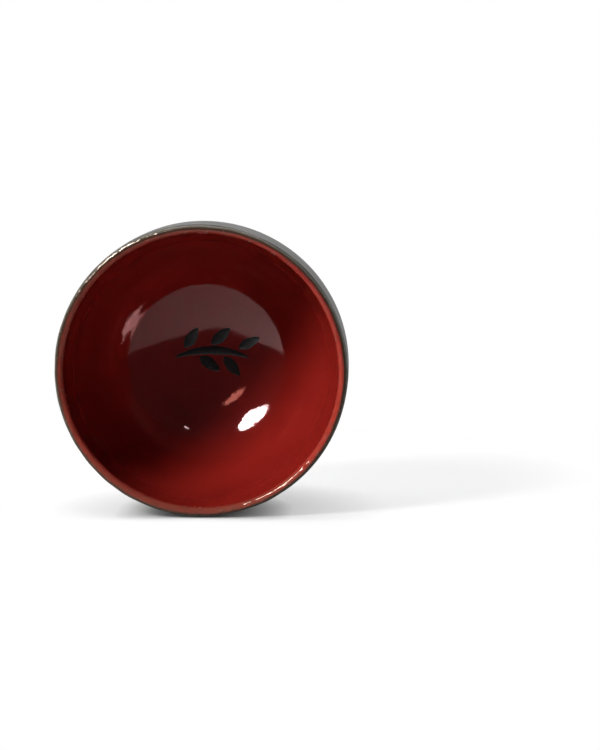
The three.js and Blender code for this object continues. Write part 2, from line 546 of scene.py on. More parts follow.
@dataclass(frozen=True)
class DarkClay:
    """Bare fired dark stoneware, matt, with grog and fine turning lines."""

    name: str = "dark_clay"
    base: Colour = (0.076, 0.055, 0.043)
    burnt: Colour = (0.046, 0.033, 0.027)
    grog: Colour = (0.170, 0.128, 0.098)
    refraction: float = 1.45
    matt: float = 0.78
    grain_dulling: float = 0.15
    cloud: Grain = Grain(7.0, 5.0, 0.6)
    burning: Limits = (0.35, 0.70)
    line: Grain = Grain(0.7, 3.0)
    line_stretch: float = 0.05
    grain: Grain = Grain(0.35, 3.0, 0.6)
    scatter: Specks = Specks(1.1, 0.17, 0.5)
    grog_strength: float = 0.7
    relief: float = 0.07
    line_height: float = 0.7
    grain_height: float = 0.6
    grog_height: float = 0.4

    def material(self) -> bpy.types.Material:
        """Mixes the clay.

        Returns:
            The clay as a material.
        """
        material, graph = new_material(self.name)
        place = graph.place()
        clouds = graph.noise(place, self.cloud)
        lines = graph.noise(graph.stretched(place, self.line_stretch, 1.0), self.line)
        grain = graph.noise(place, self.grain)
        dots = graph.specks(place, self.scatter)
        colour = graph.mix(clouds.rise(*self.burning), self.base, self.burnt)
        colour = graph.mix(dots * self.grog_strength, colour, self.grog)
        height = self.line_height * lines + self.grain_height * grain + self.grog_height * dots
        graph.surface({
            "Base Color": colour,
            "Roughness": self.matt + self.grain_dulling * grain,
            "IOR": self.refraction,
            "Normal": graph.bump(height, self.relief),
        })
        return material


@dataclass(frozen=True)
class BlackPigment:
    """Black iron pigment brushed on, melted into the glaze, a shade browner where the brush ran dry."""

    name: str = "black_pigment"
    full: Colour = (0.0060, 0.0048, 0.0040)
    dry: Colour = (0.0170, 0.0085, 0.0065)
    refraction: float = 1.5
    gloss: float = 0.14
    streak_dulling: float = 0.16
    streak: Grain = Grain(0.9, 4.0, 0.6)
    streak_stretch: float = 0.2
    drying: Limits = (0.48, 0.75)
    relief: float = 0.015

    def material(self) -> bpy.types.Material:
        """Mixes the pigment.

        Returns:
            The pigment as a material.
        """
        material, graph = new_material(self.name)
        place = graph.place()
        streaks = graph.noise(graph.stretched(place, 1.0, self.streak_stretch), self.streak)
        graph.surface({
            "Base Color": graph.mix(streaks.rise(*self.drying), self.full, self.dry),
            "Roughness": self.gloss + self.streak_dulling * streaks,
            "IOR": self.refraction,
            "Normal": graph.bump(streaks, self.relief),
        })
        return material


@dataclass(frozen=True)
class StageWhite:
    """Plain white for the stage, which keeps the cup's shadow where the camera sees it.

    The bounce is the share of light that it sends back to the cup. The mirrored shares are the greys that
    the cup's gloss shows of it, at the two ends of the painted reflection span along the cup's X: a painted
    reflection, brighter toward +X on the sheet. Within its fade the camera sees paper lit by the lamps,
    with a close glow and a wide one, painted light that dims near the cup into a painted contact shadow.
    """

    name: str
    fade: Fade
    bounce: float = 0.8
    mirrored: Limits = (0.8, 0.8)
    painted_reflection_span: Limits = (-70.0, 110.0)
    paper: float = 0.22
    glow: float = 0.42
    nearness: float = 8.0
    wide_glow: float = 0.30
    wide_nearness: float = 28.0
    nearness_rays: int = 8
    fade_centre: Point = (0.0, 0.0, 0.0)
    fade_span: Limits = (0.0, 1.0)
    one_way: bool = False

    def material(self) -> bpy.types.Material:
        """Mixes the white.

        Returns:
            The white as a material, which a one-way sheet lets the camera see through from behind.
        """
        material, graph = new_material(self.name)
        place = graph.place()
        camera = graph.ray(Ray.CAMERA)
        gloss = graph.ray(Ray.GLOSS)
        glass = graph.node("ShaderNodeBsdfTransparent", {}, {}).outputs["BSDF"]
        # Painted reflection: the greys that gloss shows of the sheet grow brighter toward the cup's +X.
        painted_reflection_ramp = graph.parts(place)[0].rise(*self.painted_reflection_span)
        dim, bright = (self.matt(graph, share) for share in self.mirrored)
        image = graph.blend(painted_reflection_ramp, dim, bright)
        back = graph.blend(gloss, self.matt(graph, self.bounce), image)
        seen = graph.math("MAXIMUM", camera, gloss) if self.fade is Fade.ALL else camera
        shader = graph.blend(seen, back, self.shown(graph, place, glass))
        if self.one_way:
            behind = Value(graph, graph.node("ShaderNodeNewGeometry", {}, {}).outputs["Backfacing"])
            shader = graph.blend(camera * behind, shader, glass)
        graph.finish(shader)
        return material

    def shown(self, graph: Graph, place: Socket, glass: Socket) -> Socket:
        """What the camera sees of the sheet.

        Args:
            graph: the material's nodes.
            place: the point on the sheet.
            glass: the shader of a clear sheet.

        Returns:
            The shader.
        """
        clear = glass if self.fade is Fade.OUTWARD else self.plain(graph)
        if self.fade is Fade.ALL:
            return clear
        offset = graph.vector("SUBTRACT", {0: place, 1: self.fade_centre})
        return graph.blend(graph.length(offset).rise(*self.fade_span), self.shadowed(graph), clear)

    def shadowed(self, graph: Graph) -> Socket:
        """Paper lit by the lamps, with painted glows that dim close to the cup into a painted contact
        shadow.

        Args:
            graph: the material's nodes.

        Returns:
            The shader.
        """
        # Painted contact shadow: the close and wide glows dim where the cup is near.
        near = self.glow_with_painted_shadow(graph, self.glow, self.nearness)
        wide = self.glow_with_painted_shadow(graph, self.wide_glow, self.wide_nearness)
        both = graph.vector("ADD", {0: near, 1: wide})
        light = graph.node("ShaderNodeEmission", {}, {"Color": both}).outputs["Emission"]
        paper = self.matt(graph, self.paper)
        return graph.node("ShaderNodeAddShader", {}, {0: paper, 1: light}).outputs["Shader"]

    def glow_with_painted_shadow(self, graph: Graph, level: float, nearness: float) -> Socket:
        """A painted glow of grey that dims where something is nearer than a distance, a painted contact
        shadow.

        Args:
            graph: the material's nodes.
            level: the grey where nothing is near.
            nearness: the distance.

        Returns:
            The grey.
        """
        settings = {"samples": self.nearness_rays}
        sockets = {"Color": (level, level, level, 1.0), "Distance": nearness * METRES}
        return graph.node("ShaderNodeAmbientOcclusion", settings, sockets).outputs["Color"]

    @staticmethod
    def plain(graph: Graph) -> Socket:
        """White whatever lights it."""
        return graph.node("ShaderNodeEmission", {}, {"Strength": 1.0}).outputs["Emission"]

    @staticmethod
    def matt(graph: Graph, share: float) -> Socket:
        """Matt white that sends back a share of the light."""
        grey = (share, share, share, 1.0)
        return graph.node("ShaderNodeBsdfDiffuse", {}, {"Color": grey}).outputs["BSDF"]


@dataclass(frozen=True)
class CupForm:
    """The cup's turned form, with the sizes of its solids."""

    rim_diameter: float = 90.0
    cup_height: float = 55.0
    lip_thickness: float = 1.4
    lip_crown: float = 1.1
    wall_upright: float = 15.0
    wall_fullness: float = 2.3
    well_fullness: float = 2.45
    floor_thickness: float = 3.0
    foot_diameter: float = 40.0
    foot_width: float = 4.5
    foot_height: float = 5.2
    foot_taper: float = 0.6
    foot_shoulder: float = 1.0
    liner_coat: float = 0.5
    lip_coat: float = 0.45
    outer_coat: float = 0.35
    lip_band: float = 1.5
    lip_edge: float = math.radians(25.0)
    outer_edge: float = 0.2
    glaze_stop: float = 2.2
    layer_gap: float = 0.1

    @property
    def clay_radius(self) -> float:
        """The clay's outside radius under the lip."""
        return self.rim_diameter / 2.0 - self.outer_coat - self.layer_gap

    @property
    def inner_radius(self) -> float:
        """The clay's inside radius under the lip."""
        return self.clay_radius - self.lip_thickness

    @property
    def upright_top(self) -> float:
        """The height where the rounded lip starts."""
        return self.cup_height - self.lip_coat - self.layer_gap - self.lip_crown

    @property
    def body_base(self) -> float:
        """The height of the body's underside."""
        return self.foot_height + self.layer_gap

    @property
    def base_radius(self) -> float:
        """The radius of the body's underside."""
        return self.foot_diameter / 2.0 + self.foot_shoulder

    @property
    def wall_depth(self) -> float:
        """From the underside to where the rounded lip starts."""
        return self.upright_top - self.body_base

    @property
    def well_depth(self) -> float:
        """From where the rounded lip starts down to the clay in the well's middle."""
        return self.wall_depth - self.floor_thickness

    @property
    def well_floor(self) -> float:
        """The height of the clay in the well's middle."""
        return self.body_base + self.floor_thickness

    @property
    def wall_curve(self) -> float:
        """The height of the curved part of the outside."""
        return self.wall_depth - self.wall_upright

    @property
    def wall_reach(self) -> float:
        """The depth below the upright wall at which the outside curve would meet the axis."""
        drawn_in = (self.base_radius / self.clay_radius) ** self.wall_fullness
        return self.wall_curve / (1.0 - drawn_in) ** (1.0 / self.wall_fullness)


class Skin:
    """The clay's skin as one line, up the outside, over the lip and down to the middle of the well."""

    STEP = 0.04
    FINE = 4000

    def __init__(self, form: CupForm) -> None:
        """Lays out the line and measures along it.

        Args:
            form: the cup's form.
        """
        runs = [self.outside(form), self.lip(form), self.inside(form)]
        line = np.concatenate([runs[0], runs[1][1:], runs[2][1:]])
        length = np.concatenate([[0.0], np.cumsum(np.hypot(*np.diff(line, axis=0).T))])
        ends = np.cumsum([len(run) - 1 for run in runs])
        self.lip_out, self.lip_in, self.end = (float(length[i]) for i in ends)
        self.crest = float(length[int(np.argmax(line[:, 1]))])
        self.along = np.append(np.arange(0.0, self.end, self.STEP), self.end)
        self.line = np.column_stack([np.interp(self.along, length, line[:, k]) for k in (0, 1)])
        slope = np.gradient(self.line, self.along, axis=0)
        slope /= np.hypot(slope[:, 0], slope[:, 1])[:, None]
        self.normal = np.column_stack([slope[:, 1], -slope[:, 0]])

    @classmethod
    def outside(cls, form: CupForm) -> np.ndarray:
        """The outside, from the underside's edge up to the lip.

        Args:
            form: the cup's form.

        Returns:
            Radii and heights.
        """
        top = form.upright_top - form.wall_upright
        drop = form.wall_curve / form.wall_reach
        turn = np.linspace(math.asin(drop ** (form.wall_fullness / 2.0)), 0.0, cls.FINE)
        power = 2.0 / form.wall_fullness
        curve = np.column_stack([
            form.clay_radius * np.cos(turn) ** power,
            top - form.wall_reach * np.sin(turn) ** power,
        ])
        upright = np.linspace(top, form.upright_top, cls.FINE)[1:]
        return np.concatenate([curve, np.column_stack([np.full_like(upright, form.clay_radius), upright])])

    @classmethod
    def lip(cls, form: CupForm) -> np.ndarray:
        """The rounded lip, from outside to inside.

        Args:
            form: the cup's form.

        Returns:
            Radii and heights.
        """
        turn = np.linspace(0.0, math.pi, cls.FINE)
        half = form.lip_thickness / 2.0
        radius = form.inner_radius + half + half * np.cos(turn)
        return np.column_stack([radius, form.upright_top + form.lip_crown * np.sin(turn)])

    @classmethod
    def inside(cls, form: CupForm) -> np.ndarray:
        """The inside, from the lip down to the well's middle.

        Args:
            form: the cup's form.

        Returns:
            Radii and heights.
        """
        turn = np.linspace(0.0, QUARTER_TURN, cls.FINE)
        power = 2.0 / form.well_fullness
        across = np.clip(np.cos(turn), 0.0, None)
        across[-1] = 0.0
        return np.column_stack([
            form.inner_radius * across**power,
            form.upright_top - form.well_depth * np.sin(turn) ** power,
        ])

    def at(self, along: np.ndarray) -> tuple[np.ndarray, ...]:
        """Radius, height, and the normal's outward and upward parts, at lengths along the skin."""
        columns = np.column_stack([self.line, self.normal]).T
        return tuple(np.interp(along, self.along, column) for column in columns)

    def lip_turn(self, form: CupForm, turn: float) -> float:
        """Measures up the outside of the rounded lip.

        Args:
            form: the cup's form.
            turn: a turn of the lip above its outside.

        Returns:
            The length along the skin there.
        """
        height = form.upright_top + form.lip_crown * math.sin(turn)
        lip = (self.along >= self.lip_out) & (self.along <= self.crest)
        return float(np.interp(height, self.line[lip, 1], self.along[lip]))


def soft_step(value: np.ndarray, low: float, high: float) -> np.ndarray:
    """A smooth step from 0 at low to 1 at high."""
    share = np.clip((value - low) / (high - low), 0.0, 1.0)
    return share * share * (3.0 - 2.0 * share)


def bead(distance: np.ndarray, width: float) -> np.ndarray:
    """The share of its thickness that a coat has at a distance from its rounded end."""
    return np.sqrt(1.0 - (1.0 - np.clip(distance / width, 0.0, 1.0)) ** 2)


@dataclass(frozen=True)
class Waver:
    """A smooth wander round the cup, the sum of a few waves, weaker the quicker they are."""

    size: float
    slowest: int
    quickest: int
    seed: int

    WAVE_SIZES = (0.4, 1.0)
    WEAKENING = 0.5

    def at(self, angle: np.ndarray) -> np.ndarray:
        """The wander at some turns.

        Args:
            angle: turns about the axis.

        Returns:
            The wander, mostly within its size either way.
        """
        random = np.random.default_rng(self.seed)
        counts = np.arange(self.slowest, self.quickest + 1)
        phases = random.uniform(0.0, FULL_TURN, len(counts))
        sizes = random.uniform(*self.WAVE_SIZES, len(counts)) / counts**self.WEAKENING
        waves = np.cos(counts * np.asarray(angle)[..., None] + phases) @ sizes
        return self.size * waves / np.hypot.reduce(sizes)


@dataclass(frozen=True)
class HandMarks:
    """What the hand and the wheel leave on the clay.

    There are rings inside and turning lines outside, and the rim isn't quite round. The starts and ends are
    lengths over which they come and go, along the skin from the lip or from the well's middle.
    """

    ring_depth: float = 0.012
    ring_pitch: float = 8.8
    ring_start: Limits = (0.0, 8.0)
    ring_end: Limits = (42.0, 28.0)
    turning_depth: float = 0.012
    turning_pitch: float = 1.15
    turning_swell: float = 0.05
    swell_pitch: float = 9.0
    turning_start: Limits = (0.5, 4.0)
    unround: Waver = Waver(0.07, 2, 5, 11)
    unround_start: Limits = (4.0, 25.0)

    def at(self, skin: Skin, along: np.ndarray, angle: np.ndarray) -> np.ndarray:
        """How far the clay stands out from its turned form.

        Args:
            skin: the skin that carries the marks.
            along: lengths along the skin.
            angle: turns about the axis, in the same shape.

        Returns:
            The distance along the skin's normal.
        """
        inside = along - skin.lip_in
        ringed = soft_step(inside, *self.ring_start) * soft_step(inside, *self.ring_end)
        rings = self.ring_depth * ringed * np.sin(FULL_TURN * inside / self.ring_pitch + angle)
        outside = skin.lip_out - along
        turned = soft_step(outside, *self.turning_start)
        turning = self.turning_depth * np.sin(FULL_TURN * outside / self.turning_pitch + angle)
        swell = self.turning_swell * np.sin(FULL_TURN * outside / self.swell_pitch)
        loose = soft_step(skin.end - along, *self.unround_start)
        return rings + turned * (turning + swell) + loose * self.unround.at(angle)


class MeshMaker:
    """Collects the faces of one closed mesh and turns them into an object."""

    def __init__(self) -> None:
        """Starts with nothing."""
        self.points: list[np.ndarray] = []
        self.faces: list[Sequence[int]] = []
        self.creases: list[tuple[int, int]] = []
        self.count = 0

    def add(self, points: np.ndarray) -> np.ndarray:
        """Adds points.

        Args:
            points: the points, in any layout.

        Returns:
            Their numbers, in the same layout.
        """
        flat = points.reshape(-1, 3)
        numbers = np.arange(self.count, self.count + len(flat)).reshape(points.shape[:-1])
        self.points.append(flat)
        self.count += len(flat)
        return numbers

    def add_on_axis(self, height: float) -> int:
        """Adds a point on the axis and gives its number."""
        return int(self.add(np.array([[0.0, 0.0, height]]))[0])

    def grid(self, rows: np.ndarray, wrap: bool = True) -> None:
        """Faces between the rows of a grid of points.

        Args:
            rows: point numbers; each next row lies to the left of the direction along a row.
            wrap: whether each row closes into a ring.
        """
        ahead = np.roll(rows, -1, axis=1) if wrap else rows[:, 1:]
        here = rows if wrap else rows[:, :-1]
        quads = np.stack([here[:-1], ahead[:-1], ahead[1:], here[1:]], axis=-1)
        self.faces.extend(quads.reshape(-1, 4).tolist())

    def cap(self, ring: np.ndarray, centre: int, upward: bool) -> None:
        """A fan of faces from a ring to a point on the axis.

        Args:
            ring: the ring's point numbers.
            centre: the number of the point on the axis.
            upward: whether the faces look up.
        """
        ahead = np.roll(ring, -1)
        order = (ring, ahead) if upward else (ahead, ring)
        fan = np.column_stack([*order, np.full(len(ring), centre)])
        self.faces.extend(fan.tolist())

    def crease(self, ring: np.ndarray) -> None:
        """Keeps the shading apart on the two sides of a ring."""
        self.creases.extend(zip(ring.tolist(), np.roll(ring, -1).tolist()))

    def make(self, name: str) -> bpy.types.Object:
        """Makes the object, smooth-shaded and in metres.

        Args:
            name: its name and its mesh's.

        Returns:
            The object, in the scene.
        """
        mesh = bpy.data.meshes.new(name)
        points = np.concatenate(self.points) * METRES
        mesh.from_pydata(points.tolist(), [], self.faces)
        mesh.update()
        mesh.polygons.foreach_set("use_smooth", [True] * len(mesh.polygons))
        wanted = {tuple(sorted(edge)) for edge in self.creases}
        for edge in mesh.edges:
            if tuple(sorted(edge.vertices)) in wanted:
                edge.use_edge_sharp = True
        made = bpy.data.objects.new(name, mesh)
        bpy.context.scene.collection.objects.link(made)
        return made


def ring_points(radius: np.ndarray, height: np.ndarray, angle: np.ndarray) -> np.ndarray:
    """Points at radii and heights, at turns about the cup's axis."""
    return np.stack([radius * np.cos(angle), radius * np.sin(angle), height], axis=-1)


def ring_angles(count: int) -> np.ndarray:
    """Even turns about the axis."""
    return np.linspace(0.0, FULL_TURN, count, endpoint=False)


def piece_of(name: str, maker: MeshMaker, finish: bpy.types.Material) -> bpy.types.Object:
    """Makes a piece that stands for the solid of the same name.

    Args:
        name: the solid's name.
        maker: its finished mesh.
        finish: its material.

    Returns:
        The piece, riding on the cup.
    """
    made = maker.make(f"{name}_look")
    made.data.materials.append(finish)
    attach(made, BODY)
    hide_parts(name)
    return made


@dataclass
class CupPart(ABC):
    """A sub-assembly of the cup, which follows its form, its clay's skin and the marks on that."""

    form: CupForm
    skin: Skin
    marks: HandMarks

    @abstractmethod
    def build(self) -> list[bpy.types.Object]:
        """Makes the sub-assembly's pieces and dresses them."""


@dataclass
class ThrownClay(CupPart):
    """The clay body and the foot ring that it stands on."""

    finish: DarkClay = DarkClay()
    segments: int = 128
    body_rows: int = 320
    marks_start: Limits = (0.0, 1.0)
    foot_round: float = 0.7
    foot_round_steps: int = 7
    foot_side_steps: int = 12
    foot_wander: Waver = Waver(0.05, 2, 7, 5)

    def build(self) -> list[bpy.types.Object]:
        """Makes both pieces, dressed in bare clay.

        Returns:
            The pieces.
        """
        clay = self.finish.material()
        return [
            piece_of("clay_body", self.body(), clay),
            piece_of("foot_ring", self.foot(), clay),
        ]

    def body(self) -> MeshMaker:
        """The thrown wall and floor, closed by the underside.

        Returns:
            The mesh.
        """
        maker = MeshMaker()
        along = np.linspace(0.0, self.skin.end, self.body_rows)[:-1, None]
        along, angle = np.broadcast_arrays(along, ring_angles(self.segments)[None, :])
        radius, height, out, up = self.skin.at(along)
        stand = self.marks.at(self.skin, along, angle) * soft_step(along, *self.marks_start)
        rows = maker.add(ring_points(radius + out * stand, height + up * stand, angle))
        maker.grid(rows)
        maker.cap(rows[-1], maker.add_on_axis(self.form.well_floor), True)
        maker.cap(rows[0], maker.add_on_axis(self.form.body_base), False)
        maker.crease(rows[0])
        return maker

    def foot_section(self) -> np.ndarray:
        """The foot ring's section, counter-clockwise, with its lower edges rounded.

        Returns:
            Radii and heights.
        """
        form = self.form
        size = self.foot_round
        out = form.foot_diameter / 2.0
        inside = out - form.foot_width
        low_out = out - form.foot_taper
        low_in = inside + form.foot_taper
        top_out = np.array([out, form.foot_height])
        top_in = np.array([inside, form.foot_height])
        turn = np.linspace(0.0, QUARTER_TURN, self.foot_round_steps)
        outer = np.column_stack([low_out - size + size * np.sin(turn), size - size * np.cos(turn)])
        inner = np.column_stack([low_in + size - size * np.cos(turn), size - size * np.sin(turn)])
        rise = np.linspace(0.0, 1.0, self.foot_side_steps)[1:, None]
        outer_side = outer[-1] + rise * (top_out - outer[-1])
        inner_side = top_in + rise * (inner[0] - top_in)
        return np.concatenate([outer, outer_side, [top_in], inner_side[:-1], inner])

    def foot(self) -> MeshMaker:
        """The foot ring, a little uneven where it was turned.

        Returns:
            The mesh.
        """
        maker = MeshMaker()
        section = self.foot_section()
        angle = ring_angles(self.segments)[None, :]
        share = section[:, 1:] / self.form.foot_height
        radius = section[:, :1] + self.foot_wander.at(angle) * share * (1.0 - share)
        height, turns = (np.broadcast_to(part, radius.shape) for part in (section[:, 1:], angle))
        rows = maker.add(ring_points(radius, height, turns))
        maker.grid(np.concatenate([rows, rows[:1]]))
        return maker


@dataclass
class GlazeCoats(CupPart):
    """The red liner, the red over the lip and the dark coat outside.

    The collar is how much fuller the glaze is under the lip. Each bead is the width of a coat's rounded
    end, and the roll is the extra share of thickness at the dark coat's foot.
    """

    red: RedGlaze = RedGlaze()
    thin: ThinGlaze = ThinGlaze()
    dark: DarkCoat = DarkCoat()
    segments: int = 192
    liner_rows: int = 190
    lip_rows: int = 44
    outer_rows: int = 170
    back_rows: int = 40
    crowding: float = 0.6
    lip_bead: float = 0.5
    lip_shoulder: Limits = (3.0, 1.5)
    lip_ridge: float = 0.025
    ridge_waves: float = 6.0
    ridge_slope: float = 0.5
    collar: float = 0.34
    collar_span: Limits = (9.5, 0.0)
    coat_bead: float = 0.45
    stop_bead: float = 1.3
    roll: float = 0.35
    roll_span: Limits = (3.5, 0.8)
    lip_wander: Waver = Waver(0.16, 3, 40, 21)
    coat_wander: Waver = Waver(0.05, 3, 30, 22)
    stop_wander: Waver = Waver(0.45, 2, 14, 23)

    def build(self) -> list[bpy.types.Object]:
        """Makes the three coats and dresses them.

        Returns:
            The pieces.
        """
        return [
            piece_of("liner_glaze", self.liner(), self.red.material()),
            piece_of("lip_glaze", self.lip(), self.thin.material()),
            piece_of("outer_coat", self.outer(), self.dark.material()),
        ]

    @property
    def seam(self) -> float:
        """Where the lip's glaze runs into the liner's, along the skin."""
        return self.skin.lip_in + self.form.lip_band

    @property
    def turns(self) -> np.ndarray:
        """The turns of every ring of a coat, as one row."""
        return ring_angles(self.segments)[None, :]

    def layer(self, along: np.ndarray, off: np.ndarray | float) -> np.ndarray:
        """Points of a layer over the clay, which carries the clay's own marks.

        Args:
            along: lengths along the skin, a column for each turn.
            off: the layer's distance off the coat's back.

        Returns:
            The points.
        """
        angle = np.broadcast_to(self.turns, along.shape)
        radius, height, out, up = self.skin.at(along)
        stand = off + self.form.layer_gap + self.marks.at(self.skin, along, angle)
        return ring_points(radius + out * stand, height + up * stand, angle)

    def coat(self, start: np.ndarray, end: np.ndarray, rows: int, thickness: Thickness) -> MeshMaker:
        """A closed coat between two edges on the skin.

        Args:
            start: where it starts along the skin, at each turn.
            end: where it ends, at each turn.
            rows: how many rings its face has, crowded toward both edges.
            thickness: gives its thickness from the distances to its start and its end.

        Returns:
            The mesh.
        """
        maker = MeshMaker()
        eased = 0.5 - 0.5 * np.cos(np.linspace(0.0, math.pi, rows))
        even = np.linspace(0.0, 1.0, rows)
        share = (self.crowding * eased + (1.0 - self.crowding) * even)[:, None]
        along = start + (end - start) * share
        face = maker.add(self.layer(along, thickness(along - start, end - along)))
        maker.grid(face)
        back_share = np.linspace(0.0, 1.0, self.back_rows)[:, None]
        back = maker.add(self.layer(end + (start - end) * back_share, 0.0))
        maker.grid(back)
        for first, second in ((face[-1], back[0]), (back[-1], face[0])):
            maker.grid(np.stack([first, second]))
            maker.crease(first)
            maker.crease(second)
        return maker

    def lip(self) -> MeshMaker:
        """The glaze over the lip, with a wandering bead at its outer edge.

        Returns:
            The mesh.
        """
        start = self.skin.lip_turn(self.form, self.form.lip_edge) + self.lip_wander.at(self.turns)
        end = np.full_like(start, self.seam)
        thin = self.form.lip_coat
        full = self.form.liner_coat + self.collar

        def thickness(past: np.ndarray, left: np.ndarray) -> np.ndarray:
            """Thin over the lip's ridge, and as full as the liner from its inner shoulder to the seam.

            Args:
                past: distances from the outer edge.
                left: distances to the seam.

            Returns:
                The thickness.
            """
            _, _, out, up = self.skin.at(start + past)
            waves = np.cos(self.ridge_waves * np.arctan2(out, up))
            ridge = self.lip_ridge * waves * (up > self.ridge_slope)
            fuller = (full - thin) * soft_step(left, *self.lip_shoulder)
            return (thin + fuller + ridge) * bead(past, self.lip_bead)

        return self.coat(start, end, self.lip_rows, thickness)

    def outer(self) -> MeshMaker:
        """The dark coat, with a rolled edge where it stops above the foot.

        Returns:
            The mesh.
        """
        start = self.form.glaze_stop + self.stop_wander.at(self.turns)
        end = self.skin.lip_out - self.form.outer_edge + self.coat_wander.at(self.turns)

        def thickness(past: np.ndarray, left: np.ndarray) -> np.ndarray:
            """Even up the wall, a little fuller in the roll at its foot."""
            roll = 1.0 + self.roll * soft_step(past, *self.roll_span)
            return self.form.outer_coat * roll * bead(past, self.stop_bead) * bead(left, self.coat_bead)

        return self.coat(start, end, self.outer_rows, thickness)

    def liner(self) -> MeshMaker:
        """The red liner, from the seam under the lip, where it is fullest, to the middle of the well.

        Returns:
            The mesh.
        """
        maker = MeshMaker()
        sides = []
        for full, rows in ((1.0, self.liner_rows), (0.0, self.back_rows)):
            along = np.linspace(self.seam, self.skin.end, rows)[:-1, None]
            along = np.broadcast_to(along, (len(along), self.segments))
            collar = self.collar * soft_step(along - self.seam, *self.collar_span)
            sides.append(maker.add(self.layer(along, full * (self.form.liner_coat + collar))))
        face, back = sides
        floor = self.form.well_floor + self.form.layer_gap
        maker.grid(face)
        maker.cap(face[-1], maker.add_on_axis(floor + self.form.liner_coat), True)
        maker.grid(back[::-1])
        maker.cap(back[-1], maker.add_on_axis(floor), False)
        maker.grid(np.stack([back[0], face[0]]))
        maker.crease(face[0])
        maker.crease(back[0])
        return maker


